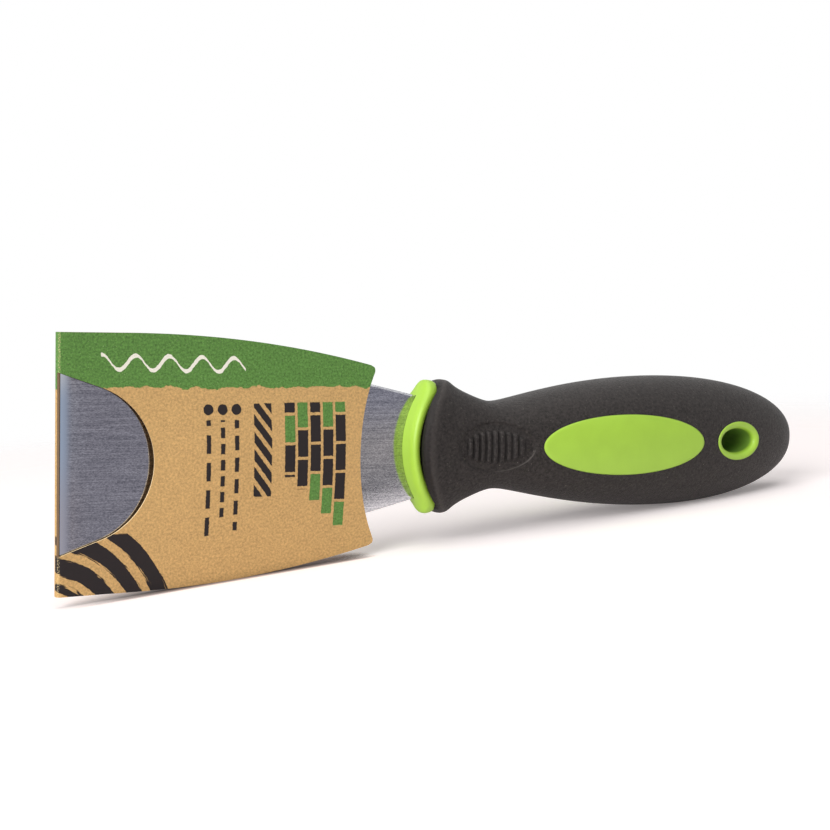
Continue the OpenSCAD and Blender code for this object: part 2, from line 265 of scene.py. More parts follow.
def gripHalfT(x):
    h = handleForm
    belly = bellyHalf(x, h["bellyT"], h["bellyFaceX"], h["bellyFaceR"])
    shoulder = h["shoulderT"] / 2
    flare = softMin(shoulder - h["faceFall"] * (x - h["gripX"] - h["lipR"]), shoulder, h["faceSoft"])
    return softMax(belly, flare, h["neckSoft"] / 2)


def archShare(x):
    h = handleForm
    share = np.clip((x - h["gripX"]) / (h["neckX"] - h["gripX"]), 0, 1)
    return (1 + np.cos(np.pi * share)) / 2


def outlineX(x):
    return x + archShare(x) * sag(handleForm["shoulderW"] / 2, handleForm["archR"])


def squarePower(value, power):
    return np.sign(value) * np.abs(value) ** power


# Height of the handle's face above the knife's middle plane, behind the neck
def faceHeight(x, z):
    p = handleForm["squareness"]
    return gripHalfT(x) * np.maximum(1 - np.abs(z / gripHalfW(outlineX(x))) ** p, 0) ** (1 / p)


def archedPoints(x, halfT, halfW, turn, squareness, arch=True):
    z = halfW * squarePower(np.cos(turn), 2 / squareness)
    y = halfT * squarePower(np.sin(turn), 2 / squareness)
    if arch:
        x = x + archShare(x) * sag(z, handleForm["archR"])
    return x, y, z


thumbRest = {
    "middle": 101.5, "length": 20.3, "width": 11.7, "depth": 0.36, "rim": 0.4,
    "ribs": 9, "ribMiddle": 101.5, "ribPitch": 1.65, "ribHalf": 0.42, "ribEdge": 0.18, "ribRise": 0.55,
    "ribHeight": 7.6, "ribEnd": 0.4,
}


def thumbPress(x, z):  # how far a face is pushed in or raised at the thumb rest
    r = thumbRest
    out = np.sqrt(((x - r["middle"]) / (r["length"] / 2)) ** 2 + (z / (r["width"] / 2)) ** 2)
    press = -r["depth"] * smoothStep(0, r["rim"], (1 - out) * r["width"] / 2)
    reach = (r["ribs"] + 1) / 2 * r["ribPitch"]
    for i in range(r["ribs"]):
        along = (i - (r["ribs"] - 1) / 2) * r["ribPitch"]
        tall = r["ribHeight"] / 2 * math.sqrt(1 - (along / reach) ** 2)
        off = np.abs(x - r["ribMiddle"] - along)
        across = 1 - smoothStep(r["ribHalf"] - r["ribEdge"], r["ribHalf"] + r["ribEdge"], off)
        press = press + r["ribRise"] * across * (1 - smoothStep(tall - r["ribEnd"], tall, np.abs(z)))
    return press


gripPiece = {
    "ringPoints": 168, "faceShare": 0.22, "wall": 2.5, "cuts": 5, "lastTurn": 88.8,
    "ribsFrom": 92.0, "ribsTo": 112.4,
    "lipSteps": 5, "neckSteps": 4, "ribSteps": 20, "bellySteps": 17, "endSteps": 22,
}


def gripStations():
    h, g = handleForm, gripPiece
    turns = [math.pi / 2 * i / g["lipSteps"] for i in range(g["lipSteps"])]
    lip = [h["gripX"] + h["lipR"] * (1 - math.cos(turn)) for turn in turns]
    neck = list(np.linspace(h["gripX"] + h["lipR"], g["ribsFrom"], g["neckSteps"] + 1))
    ribs = list(np.linspace(g["ribsFrom"], g["ribsTo"], g["ribSteps"] + 1)[1:])
    belly = list(np.linspace(g["ribsTo"], h["bellyX"], g["bellySteps"] + 1)[1:])
    turns = [math.radians(g["lastTurn"]) * i / g["endSteps"] for i in range(1, g["endSteps"] + 1)]
    end = [h["bellyX"] + (h["tipX"] - h["bellyX"]) * math.sin(turn) for turn in turns]
    return lip + neck + ribs + belly + end


def lipDrop(x):
    h = handleForm
    back = np.maximum(h["lipR"] - (x - h["gripX"]), 0)
    return np.where(x > h["gripX"] + h["lipR"], 0, sag(back, h["lipR"]))


def handleSizes(x):
    halfT = np.maximum(gripHalfT(x) - lipDrop(x), 0.1)
    halfW = np.maximum(gripHalfW(outlineX(x)) - lipDrop(x), 0.1)
    return halfT, halfW


def ringsOf(piece):  # ring number and turn of every point, with the closing points put on the end rings
    ring, turn = takeLayer(piece, "ring"), takeLayer(piece, "turn")
    last = ring.max()
    pole = ring < -0.5
    ring = np.where(ring < -1.5, last, np.where(ring < -0.5, 0, ring))
    return ring, turn, pole


def overRings(ring, values):  # a value given for each ring, read at every point
    return np.interp(ring, np.arange(len(values)), values)


def loftHandle(name, xs, sizes, points, cuts=0, faceShare=0.0, press=None):
    stations = [(x, *(float(half) for half in sizes(np.array(x)))) for x in xs]
    piece = ringLoft(name, at(0, 0, 0), "X", stations, points, cuts)
    ring, turn, pole = ringsOf(piece)
    along = overRings(ring, xs)
    halfT, halfW = sizes(along)
    turn = turn + faceShare * np.sin(2 * turn)
    x, y, z = archedPoints(along, halfT * ~pole, halfW * ~pole, turn, handleForm["squareness"])
    if press is not None:
        y = y + np.sign(y) * press(x, z)
    return shapeTo(piece, x, y, z)


def ovalColumn(name, x, length, width):  # an oval post right through the handle, to cut with
    clearSelection()
    bpy.ops.mesh.primitive_cylinder_add(
        vertices=160, radius=mm / 2, depth=60 * mm, location=at(x, 0, 0), rotation=(math.pi / 2, 0, 0))
    post = startPiece(name)
    stretchMesh(post, (length, 1, width), at(x, 0, 0))
    return post


coreForm = {"startX": 84.6, "endX": 184.65, "steps": 26, "ringPoints": 96}


def coreSizes(x):
    x = np.maximum(x, handleForm["gripX"] + handleForm["lipR"])
    wall = gripPiece["wall"]
    return gripHalfT(x) - wall, gripHalfW(outlineX(x)) - wall


def makeCoreBody(name):
    xs = list(np.linspace(coreForm["startX"], coreForm["endX"], coreForm["steps"]))
    return loftHandle(name, xs, coreSizes, coreForm["ringPoints"])


ovalPad = {
    "x": 137.1, "length": 47.4, "width": 14.5, "proud": 0.15, "edgeRound": 0.35, "foot": -2.7, "points": 160,
    "rimSteps": 5, "faceShares": (0.9, 0.82, 0.72, 0.62, 0.52, 0.42, 0.32, 0.22, 0.12, 0.05),
}
eyelet = {
    "x": 173.3, "length": 11.9, "width": 6.1, "wall": 1.8, "proud": 0.15, "edgeRound": 0.3,
    "flat": 1.5, "foot": -2.7, "points": 128, "filletSteps": 8,
}


def makePad(name, side):
    p = ovalPad
    rim = []
    for i in range(p["rimSteps"] + 1):  # the rounded rim, from the side up to the face
        turn = math.pi / 2 * i / p["rimSteps"]
        rim.append((1 - p["edgeRound"] * (1 - math.cos(turn)) / (p["width"] / 2),
                    p["proud"] - p["edgeRound"] * (1 - math.sin(turn))))
    rings = [(p["faceShares"][-1], p["foot"]), (1, p["foot"])] + rim
    rings += [(share, p["proud"]) for share in p["faceShares"]]
    halfL, halfW = p["length"] / 2, p["width"] / 2
    stations = [(-side * 0.1 * i, share * halfL, share * halfW) for i, (share, _) in enumerate(rings)]
    piece = ringLoft(name, at(p["x"], 0, 0), "Y", stations, p["points"])
    ring, turn, pole = ringsOf(piece)
    share, lift = (overRings(ring, column) for column in zip(*rings))
    share = share * ~pole
    x = p["x"] + share * halfL * np.sin(turn)
    z = share * halfW * np.cos(turn)
    return shapeTo(piece, x, side * (faceHeight(x, z) + lift), z)


def makeEyelet(name):
    e = eyelet
    half = [(e["wall"], e["foot"]), (e["wall"], e["proud"] - e["edgeRound"])]
    for a in np.linspace(0.4, math.pi / 2, 4):  # the outer edge
        inset, fall = e["edgeRound"] * (1 - math.cos(a)), e["edgeRound"] * (1 - math.sin(a))
        half.append((e["wall"] - inset, e["proud"] - fall))
    for a in np.linspace(0, math.pi / 2, e["filletSteps"]):  # the rounded way into the hole
        half.append((e["flat"] * (1 - math.sin(a)), e["proud"] - e["flat"] * (1 - math.cos(a))))
    rings = [(o, lift, -1) for o, lift in half] + [(o, lift, 1) for o, lift in reversed(half)]
    rings.append(rings[0])
    stations = [(0.1 * i, e["length"] / 2 + o, e["width"] / 2 + o) for i, (o, _, _) in enumerate(rings)]
    piece = ringLoft(name, at(e["x"], 0, 0), "Y", stations, e["points"], poles=False)
    ring, turn, _ = ringsOf(piece)
    out, lift, side = (overRings(ring, column) for column in zip(*rings))
    x = e["x"] + (e["length"] / 2 + out) * np.sin(turn)
    z = (e["width"] / 2 + out) * np.cos(turn)
    return shapeTo(piece, x, side * (faceHeight(x, z) + lift), z, merge=1e-6)


collarForm = {
    "width": 30.6, "thickness": 10.4, "rim": 2.4, "backR": 1.2,
    "beadL": 1.0, "beadFall": 2.0, "beadStart": 10, "capShares": (0.06, 0.2, 0.36, 0.52, 0.68, 0.84),
    "neckT": 5.4, "neckW": 25.6, "neckEnd": 5.0, "squareness": 2.6, "points": 160,
    "grooveW": 0.8, "grooveEnd": 2.8, "end": 2.3, "endSoft": 0.6, "endFall": 2.0, "tighten": 2.2,
    "grooveTighten": 1.0, "grooveShares": (0.06, 0.3, 0.6, 1),
}


# Rings along the knife that follow the collar's arch: place, half thickness and half width.
# The arch tightens towards the back.
def makeArched(name, rings, tighten):
    piece = ringLoft(name, at(handleForm["collarX"], 0, 0), "X", rings, collarForm["points"])
    ring, turn, pole = ringsOf(piece)
    along, halfT, halfW = (overRings(ring, column) for column in zip(*rings))
    x, y, z = archedPoints(along, halfT * ~pole, halfW * ~pole, turn, collarForm["squareness"], arch=False)
    bent = softMin(np.abs(z), collarForm["width"] / 2 - collarForm["end"], collarForm["endSoft"])
    radius = handleForm["archR"] - tighten * np.minimum(along, collarForm["grooveEnd"])
    return shapeTo(piece, handleForm["collarX"] + x + sag(bent, radius), y, z)


def makeCollar(name):
    c = collarForm
    halfT, halfW = c["thickness"] / 2, c["width"] / 2
    edge = []  # along the knife, and inset from the rim
    for turn in np.linspace(math.radians(c["beadStart"]), math.pi / 2, 12):
        edge.append((c["beadL"] * (1 - math.cos(turn)), c["beadFall"] * (1 - math.sin(turn))))
    for turn in np.linspace(0, math.pi / 2, 6):
        edge.append((c["rim"] - c["backR"] * (1 - math.sin(turn)), c["backR"] * (1 - math.cos(turn))))
    rings = [(along, halfT - inset, halfW - c["endFall"] * inset) for along, inset in edge]
    caps = c["capShares"]
    front = [(rings[0][0], share * rings[0][1], share * rings[0][2]) for share in caps]
    neck = [(along, c["neckT"] / 2, c["neckW"] / 2) for along in (c["rim"], c["neckEnd"])]
    back = [(c["neckEnd"], share * c["neckT"] / 2, share * c["neckW"] / 2) for share in reversed(caps)]
    return makeArched(name, front + rings + neck + back, c["tighten"])


def makeGroove(name):  # the open groove that the grip leaves around and behind the collar
    c = collarForm
    halfT, halfW = c["thickness"] / 2 + c["grooveW"], c["width"] / 2 + c["grooveW"]
    rings = [(0, share * halfT, share * halfW) for share in c["grooveShares"]]
    rings += [(c["grooveEnd"], share * halfT, share * halfW) for share in reversed(c["grooveShares"])]
    return makeArched(name, rings, c["grooveTighten"])


bladeForm = {
    "edgeX": 0.8, "rootX": 84.6, "width": 50.0, "rootW": 23.2, "sideR": 580.0, "thickness": 0.8,
    "bevel": 1.9, "edgeT": 0.3, "tangW": 12.0, "tangL": 54.0, "holeD": 5.0, "holePitch": 24.0,
    "steps": 66, "edgeFall": 0.14, "softEdge": 0.06, "fit": 0.05,
    "rowMargins": (0, 0.35, 0.85, 1.1), "rowFalls": (1, 0.3, 0, 0),  # of the rows from each long edge inwards
}


def bladeHalf(x):  # half width of the blade along its bowed sides
    b = bladeForm
    run, fall = b["rootX"] - b["edgeX"], (b["width"] - b["rootW"]) / 2
    chord = math.hypot(run, fall)
    back = math.sqrt(b["sideR"] ** 2 - chord ** 2 / 4)
    middleX = b["edgeX"] + run / 2 - back / chord * fall
    middleZ = (b["width"] + b["rootW"]) / 4 - back / chord * run
    return middleZ + np.sqrt(b["sideR"] ** 2 - (x - middleX) ** 2)


def tangBlock(name, grow):
    b = bladeForm
    middle = at(b["rootX"] + b["tangL"] / 2 - 1, 0, 0)
    clearSelection()
    bpy.ops.mesh.primitive_cube_add(size=mm, location=middle)
    block = startPiece(name)
    stretchMesh(block, (b["tangL"] + 2 + grow, b["thickness"] + 2 * grow, b["tangW"] + 2 * grow), middle)
    return block


def makeSheet(name, grow=0.0):
    b = bladeForm
    clearSelection()
    bpy.ops.mesh.primitive_cube_add(size=mm, enter_editmode=True, location=at(0, 0, 0))
    piece = startPiece(name)
    bpy.ops.mesh.select_mode(type="EDGE")
    for axis, cuts in ((0, b["steps"] - 1), (2, 7)):
        bpy.ops.mesh.select_all(action="DESELECT")
        mesh = bmesh.from_edit_mesh(piece.data)
        for e in mesh.edges:
            run = e.verts[1].co - e.verts[0].co
            e.select_set(abs(run[axis]) > 0.9 * run.length)
        bpy.ops.mesh.subdivide(number_cuts=cuts, smoothness=0)
    bpy.ops.object.mode_set(mode="OBJECT")
    settle(piece)
    points = readPoints(piece) - np.array([-halfLength, 0, knifeZ])
    bevelXs = b["edgeX"] + b["bevel"] * np.linspace(0, 1, 7)
    xs = np.concatenate([bevelXs, np.linspace(b["edgeX"] + 4, b["rootX"] + grow, b["steps"] - 6)])
    xs[0] -= grow
    x = np.interp(points[:, 0] + 0.5, np.linspace(0, 1, b["steps"] + 1), xs)
    off = np.clip(1 - (x - b["edgeX"]) / b["bevel"], 0, 1)
    thick = b["thickness"] - (b["thickness"] - b["edgeT"]) * (0.1 * off + 0.9 * off ** 2) + 2 * grow
    halfW = bladeHalf(np.minimum(x, b["rootX"])) + grow
    row = np.rint((points[:, 2] + 0.5) * 8).astype(int)
    margin, fall = (np.array(rows + (0,) + rows[::-1])[row] for rows in (b["rowMargins"], b["rowFalls"]))
    z = np.sign(row - 4) * (halfW - margin)
    y = np.sign(points[:, 1]) * (thick / 2 - b["edgeFall"] * fall * (1 if grow == 0 else 0))
    return shapeTo(piece, x, y, z)


def makeBlade():
    b = bladeForm
    piece = makeSheet("steelBlade")
    applyModifier(piece, "BEVEL", "softEdges", width=b["softEdge"] * mm, segments=2,
                  limit_method="ANGLE", angle_limit=math.radians(40))
    tang = tangBlock("tang", 0)
    for side in (-1, 1):
        cutWith(tang, ovalColumn("keyHole", b["rootX"] + b["tangL"] / 2 + side * b["holePitch"] / 2,
                                 b["holeD"], b["holeD"]))
    cutWith(piece, tang, "UNION")
    smoothByAngle(piece, 20)
    return piece


def makeHandle():
    grip = loftHandle("softGrip", gripStations(), handleSizes, gripPiece["ringPoints"], gripPiece["cuts"],
                      gripPiece["faceShare"], thumbPress)
    core = makeCoreBody("handleCore")
    cutWith(grip, core, keep=True)
    cutWith(grip, makeGroove("groove"))
    cutWith(grip, makeCollar("collarRoom"))
    cutWith(grip, ovalColumn("padRoom", ovalPad["x"], ovalPad["length"], ovalPad["width"]))
    ringL, ringW = eyelet["length"] + 2 * eyelet["wall"], eyelet["width"] + 2 * eyelet["wall"]
    cutWith(grip, ovalColumn("eyeletRoom", eyelet["x"], ringL, ringW))
    cutWith(core, ovalColumn("holeRoom", eyelet["x"], ringL - 1, ringW - 1))
    cutWith(core, makeCollar("collar"), "UNION")
    for side in (-1, 1):
        cutWith(core, makePad("pad", side), "UNION")
    cutWith(core, makeEyelet("eyelet"), "UNION")
    cutWith(core, makeSheet("bladeRoom", bladeForm["fit"]))
    cutWith(core, tangBlock("tangRoom", bladeForm["fit"]))
    smoothByAngle(grip, 40)
    smoothByAngle(core, 40)
    return grip, core


grip, core = makeHandle()
print("handle made:", len(grip.data.polygons), "grip faces,", len(core.data.polygons), "core faces")
blade = makeBlade()
print("blade made:", len(blade.data.polygons), "faces")

cardForm = {
    "length": 73.3, "halfW": 26.69, "straight": 16.0, "sideR": 240.0, "mouthDepth": 4.8, "cornerR": 1.6,
    "card": 0.45, "outer": 1.1, "foldR": 0.5, "bow": 1.7, "bowRise": 42.0,
    "panelSteps": 56, "foldSteps": 5, "rows": 72,
    "windowR": 16.4, "windowX": 3.9, "windowFlare": 18.6, "windowEnd": -2.0, "flareShare": 0.6,
    "spineFront": -0.56, "firstGuess": 70.0, "clearOfFold": 1.2,
}


def cardHalf(x):
    c = cardForm
    return c["halfW"] - sag(np.maximum(x - c["straight"], 0), c["sideR"])


def mouthX(z, edge):  # the hollow mouth, with its corners rounded
    c = cardForm
    half = cardHalf(np.array(c["length"]))
    radius = (half ** 2 + c["mouthDepth"] ** 2) / (2 * c["mouthDepth"])
    near = np.clip(c["cornerR"] - edge, 0, c["cornerR"])
    hollow = sag(np.minimum(np.abs(z), half), radius)
    return c["length"] - c["mouthDepth"] + hollow - sag(near, c["cornerR"])


def cardBow(x, z):
    c = cardForm
    rise = (1 - np.cos(np.pi * np.clip(x / c["bowRise"], 0, 1))) / 2
    return c["bow"] * rise * np.cos(np.pi / 2 * np.clip(np.abs(z) / c["halfW"], 0, 1)) ** 2


def cardPath():  # columns of the folded sheet: side of the knife, share of the panel, and place at the fold
    c = cardForm
    midY = c["outer"] - c["card"] / 2
    midX = c["card"] / 2
    start = midX + c["foldR"]
    panel = np.linspace(1, 0, c["panelSteps"] + 1) ** 1.15
    columns = [(1, share, start, midY) for share in panel]
    turns = np.linspace(0, math.pi / 2, c["foldSteps"] + 1)[1:]
    bend = [(start - c["foldR"] * math.sin(t), midY - c["foldR"] * (1 - math.cos(t))) for t in turns]
    columns += [(0, 0, x, y) for x, y in bend] + [(0, 0, x, -y) for x, y in reversed(bend)]
    columns += [(-1, share, start, -midY) for share in panel[::-1]]
    return np.array(columns)


def windowTool():
    c = cardForm
    clearSelection()
    bpy.ops.mesh.primitive_cylinder_add(
        vertices=240, radius=mm, depth=20 * mm, location=at(0, 0, 0, sleeveZ), rotation=(math.pi / 2, 0, 0))
    tool = startPiece("windowTool")
    settle(tool)
    points = readPoints(tool) - np.array([-halfLength, 0, sleeveZ])
    turn = np.arctan2(points[:, 2], points[:, 0])
    flare = math.radians(c["windowFlare"])
    touch = math.pi / 2 - flare
    x = c["windowX"] + c["windowR"] * np.cos(turn)
    z = c["windowR"] * np.sin(turn)
    touchX, touchZ = c["windowX"] + c["windowR"] * math.cos(touch), c["windowR"] * math.sin(touch)
    past = (np.abs(turn) - touch) / (math.pi - touch)
    endX, sloped = c["windowEnd"], c["flareShare"]
    endZ = touchZ + (touchX - endX) * math.tan(flare)
    along = np.clip(past / sloped, 0, 1)                    # out along the sloping ends,
    back = np.clip((past - sloped) / (1 - sloped), 0, 1)    # then across behind the fold
    onFlare = past > 0
    x = np.where(onFlare, touchX + (endX - touchX) * along, x)
    z = np.where(onFlare, np.sign(turn) * (touchZ + (endZ - touchZ) * along) * (1 - back), z)
    y = np.where(points[:, 1] > 0, c["spineFront"], -15.0)
    return shapeTo(tool, x, y, z, sleeveZ)


def makeCard():
    c = cardForm
    columns = cardPath()
    clearSelection()
    bpy.ops.mesh.primitive_grid_add(
        x_subdivisions=len(columns) - 1, y_subdivisions=c["rows"], size=2 * mm, location=(0, 0, 0))
    piece = startPiece("cardSleeve")
    grid = readPoints(piece)
    column = np.rint((grid[:, 0] + 1) / 2 * (len(columns) - 1)).astype(int)
    side, share, foldX, foldY = columns[column].T
    v = np.sin(grid[:, 1] * math.pi / 2) * 0.5 + grid[:, 1] * 0.5  # rows closer at the long edges
    x = foldX + share * (c["firstGuess"] - foldX)
    for _ in range(6):  # the mouth's place depends on the width there, so it is found in a few rounds
        half = cardHalf(x)
        z = v * half
        x = np.where(side == 0, foldX, foldX + share * (mouthX(z, half - np.abs(z)) - foldX))
    y = np.where(side < 0, foldY - cardBow(x, z), foldY)
    shapeTo(piece, x, y, z, sleeveZ)
    applyModifier(piece, "SOLIDIFY", "cardThickness",
                  thickness=c["card"] * mm, offset=0, use_even_offset=True)
    recalcOut(piece)
    cutWith(piece, windowTool())
    return piece


card = makeCard()
print("card made:", len(card.data.polygons), "faces")


def written(r, g, b):  # a colour as it should look, from 0 to 255
    return tuple(((c / 255 + 0.055) / 1.055) ** 2.4 for c in (r, g, b)) + (1.0,)


def setInputs(node, inputs):  # a socket is linked, and any other value is set on the input itself
    for key, value in dict(inputs).items():
        if isinstance(value, bpy.types.NodeSocket):
            node.id_data.links.new(value, node.inputs[key])
        else:
            node.inputs[key].default_value = value


def addNode(kind, inputs=(), tree=None, **settings):  # in the tree of the sockets it is linked to
    inputs = dict(inputs)
    linked = [value for value in inputs.values() if isinstance(value, bpy.types.NodeSocket)]
    tree = tree or linked[0].id_data
    node = tree.nodes.new("ShaderNode" + kind)
    for key, value in settings.items():
        setattr(node, key, value)
    setInputs(node, inputs)
    return node


def calc(operation, *values, clamp=False):
    return addNode("Math", enumerate(values), operation=operation, use_clamp=clamp).outputs[0]


def mixColour(share, a, b, way="MIX"):
    return addNode("Mix", {0: share, 6: a, 7: b}, data_type="RGBA", blend_type=way).outputs[2]


def stepUp(value, low, high):  # 0 below low, 1 above high
    limits = {0: value, 1: low, 2: high, 3: 0.0, 4: 1.0}
    return addNode("MapRange", limits, interpolation_type="SMOOTHSTEP").outputs[0]


def between(value, low, high, soft):
    return calc("SUBTRACT", *(stepUp(value, end - soft, end + soft) for end in (low, high)))


def joined(operation, masks):
    share = masks[0]
    for other in masks[1:]:
        share = calc(operation, share, other)
    return share


def allOf(*masks):
    return joined("MULTIPLY", masks)


def anyOf(*masks):
    return joined("MAXIMUM", masks)


def unless(mask):
    return calc("SUBTRACT", 1.0, mask)


def lengthOf(a, b):
    return calc("SQRT", calc("ADD", calc("MULTIPLY", a, a), calc("MULTIPLY", b, b)))


def noise(place, scale, detail):
    return addNode("TexNoise", {"Vector": place, "Scale": scale, "Detail": detail}).outputs["Fac"]


def tinted(colour, mask, rgb, share=1.0):
    if share < 1:
        mask = calc("MULTIPLY", mask, share)
    return mixColour(mask, colour, written(*rgb))


def newGroup(name, inputs, outputs):
    tree = bpy.data.node_groups.new(name, "ShaderNodeTree")
    for label, kind, value in inputs:
        socket = tree.interface.new_socket(label, in_out="INPUT", socket_type="NodeSocket" + kind)
        socket.default_value = value
    for label, kind in outputs:
        tree.interface.new_socket(label, in_out="OUTPUT", socket_type="NodeSocket" + kind)
    return tree, tree.nodes.new("NodeGroupInput"), tree.nodes.new("NodeGroupOutput")


def makeMottle():  # an uneven colour with a fine and a broad grain, as every surface here has
    tree, start, end = newGroup("mottle", (
        ("Colour", "Color", (1, 1, 1, 1)), ("Place", "Vector", (0, 0, 0)),
        ("Fine Scale", "Float", 1), ("Broad Scale", "Float", 1),
        ("Fine", "Float", 0.1), ("Broad", "Float", 0.1),
    ), (("Colour", "Color"), ("Grain", "Float")))
    given = start.outputs
    fine = addNode("TexNoise", {
        "Vector": given["Place"], "Scale": given["Fine Scale"], "Detail": 4, "Roughness": 0.7}).outputs["Fac"]
    broad = noise(given["Place"], given["Broad Scale"], 3)
    gain = 1.0
    for grain, share in ((fine, "Fine"), (broad, "Broad")):
        swing = calc("MULTIPLY_ADD", grain, 4.0, -2.0)
        gain = calc("MULTIPLY_ADD", swing, given[share], gain)
    setInputs(end, {"Colour": mixColour(1.0, given["Colour"], gain, "MULTIPLY"), "Grain": fine})
    return tree


mottleGroup = makeMottle()


def mottle(colour, place, fineScale, broadScale, fine, broad):
    node = addNode("Group", {
        "Colour": colour, "Place": place, "Fine Scale": fineScale, "Broad Scale": broadScale,
        "Fine": fine, "Broad": broad}, node_tree=mottleGroup)
    return node.outputs["Colour"], node.outputs["Grain"]


def newMaterial(piece, name, constants=()):
    material = bpy.data.materials.new(name)
    material.use_nodes = True
    shader = material.node_tree.nodes["Principled BSDF"]
    setInputs(shader, constants)
    piece.data.materials.clear()
    piece.data.materials.append(material)
    return material.node_tree, shader


def inMillimetres(tree):
    coords = addNode("TexCoord", tree=tree).outputs["Object"]
    return addNode("VectorMath", {0: coords, 3: 1000.0}, operation="SCALE").outputs[0]


def stretched(place, size):
    return addNode("VectorMath", {0: place, 1: size}, operation="MULTIPLY").outputs[0]


def bumped(height, distance):
    return addNode("Bump", {"Height": height, "Distance": distance, "Strength": 1.0}).outputs[0]


def archAlong(x, z):  # distance along the knife, measured from the collar's arch
    radius = handleForm["archR"]
    under = calc("SUBTRACT", radius * radius, calc("MULTIPLY", z, z))
    back = calc("SUBTRACT", radius, calc("SQRT", calc("MAXIMUM", under, 0.0)))
    return calc("SUBTRACT", x, back)


def ovalShare(x, z, middle, length, width):  # 1 on the oval, less inside it
    across = calc("DIVIDE", calc("SUBTRACT", x, middle), length / 2)
    return lengthOf(across, calc("DIVIDE", z, width / 2))


def knifePlace(place):  # x from the fold and z from the knife's axis
    parts = addNode("SeparateXYZ", {0: place}).outputs
    return calc("ADD", parts[0], halfLength), parts[1], calc("SUBTRACT", parts[2], knifeZ)


gripFinish = {
    "colour": (36, 33, 32), "roughness": 0.52, "shine": 0.32, "shineTint": (1.0, 0.92, 0.88, 1.0),
    "mottle": (1.5, 0.25, 1.4, 0.08), "grainDepth": 0.00025, "dustAndRimHighlight": (98, 93, 88), "ridgeHighlight": (64, 60, 58),
    "lip": (14, 12, 12), "ribGapShade": (12, 11, 11),
}


def finishGrip(piece):
    f, r = gripFinish, thumbRest
    tree, shader = newMaterial(piece, "softGrip", {
        "Roughness": f["roughness"], "Specular IOR Level": f["shine"], "Specular Tint": f["shineTint"]})
    place = inMillimetres(tree)
    x, _, z = knifePlace(place)
    colour, grain = mottle(written(*f["colour"]), place, *f["mottle"])
    colour = tinted(colour, stepUp(noise(place, 3.4, 0), 0.8, 0.85), f["dustAndRimHighlight"])
    along = archAlong(x, z)
    front = handleForm["gripX"]
    # painted highlight along the ridge behind the lip
    ridgeHighlight = allOf(stepUp(along, front + 0.8, front + 1.6), stepUp(along, front + 3.2, front + 1.6))
    colour = tinted(colour, ridgeHighlight, f["ridgeHighlight"], 0.6)
    # painted shade on the lip's front face
    colour = tinted(colour, stepUp(along, front + 1.3, front + 0.6), f["lip"])
    row = calc("PINGPONG", calc("SUBTRACT", x, r["ribMiddle"]), r["ribPitch"] / 2)
    ribField = ovalShare(x, z, r["ribMiddle"], (r["ribs"] + 0.4) * r["ribPitch"], r["ribHeight"])
    # painted shade in the gaps between the ribs
    gap = allOf(stepUp(row, 0.38, 0.5), stepUp(ribField, 1.04, 0.96))
    colour = tinted(colour, gap, f["ribGapShade"], 0.75)
    dish = ovalShare(x, z, r["middle"], r["length"], r["width"])
    ahead = calc("MULTIPLY", calc("SUBTRACT", x, r["middle"]), 0.5)
    lit = stepUp(calc("SUBTRACT", ahead, z), 5.0, 7.0)  # painted highlight on the lower right of the rim, where the light falls
    rim = allOf(between(dish, 0.96, 0.98, 0.014), lit)
    colour = tinted(colour, rim, f["dustAndRimHighlight"], 0.5)
    setInputs(shader, {"Base Color": colour, "Normal": bumped(grain, f["grainDepth"])})


coreFinish = {
    "colour": (163, 204, 65), "roughness": 0.42, "mottle": (4.0, 0.2, 0.02, 0.04), "grainDepth": 0.00002,
    "holeShade": (108, 148, 46), "deepRough": 0.45,
}


def finishCore(piece):
    f, e = coreFinish, eyelet
    tree, shader = newMaterial(piece, "hardPlastic")
    place = inMillimetres(tree)
    x, y, z = knifePlace(place)
    colour, grain = mottle(written(*f["colour"]), place, *f["mottle"])
    hole = ovalShare(x, z, e["x"], e["length"] + 0.9, e["width"] + 0.9)
    # how deep a point lies below the handle's face, which falls away around the hole
    stepX, stepZ = 5, 3
    spots = ((0, 0), (stepX, 0), (0, stepZ))
    rim, ahead, up = (float(faceHeight(np.array(e["x"] + dx), np.array(dz))) for dx, dz in spots)
    face = calc("MULTIPLY_ADD", calc("SUBTRACT", x, e["x"]), (ahead - rim) / stepX, rim)
    face = calc("MULTIPLY_ADD", calc("MULTIPLY", z, z), (up - rim) / stepZ ** 2, face)
    depth = calc("SUBTRACT", face, calc("ABSOLUTE", y))
    # painted shade deep inside the hang hole
    holeShade = allOf(stepUp(hole, 1.06, 1.0), stepUp(depth, 0.8, 2.2))
    rough = calc("MULTIPLY_ADD", holeShade, f["deepRough"], f["roughness"])
    setInputs(shader, {
        "Base Color": tinted(colour, holeShade, f["holeShade"]), "Roughness": rough,
        "Normal": bumped(grain, f["grainDepth"])})


steelFinish = {
    "dark": (124, 125, 134), "light": (226, 226, 230), "bevel": (184, 193, 208), "scratch": (250, 248, 246),
    "roughness": 0.11, "grainDepth": 0.000004,
    "streaks": (0.12, 1, 4.5), "hair": (2.6, 1, 6.5), "marks": (0.4, 1, 13),  # how the grain is drawn out
}


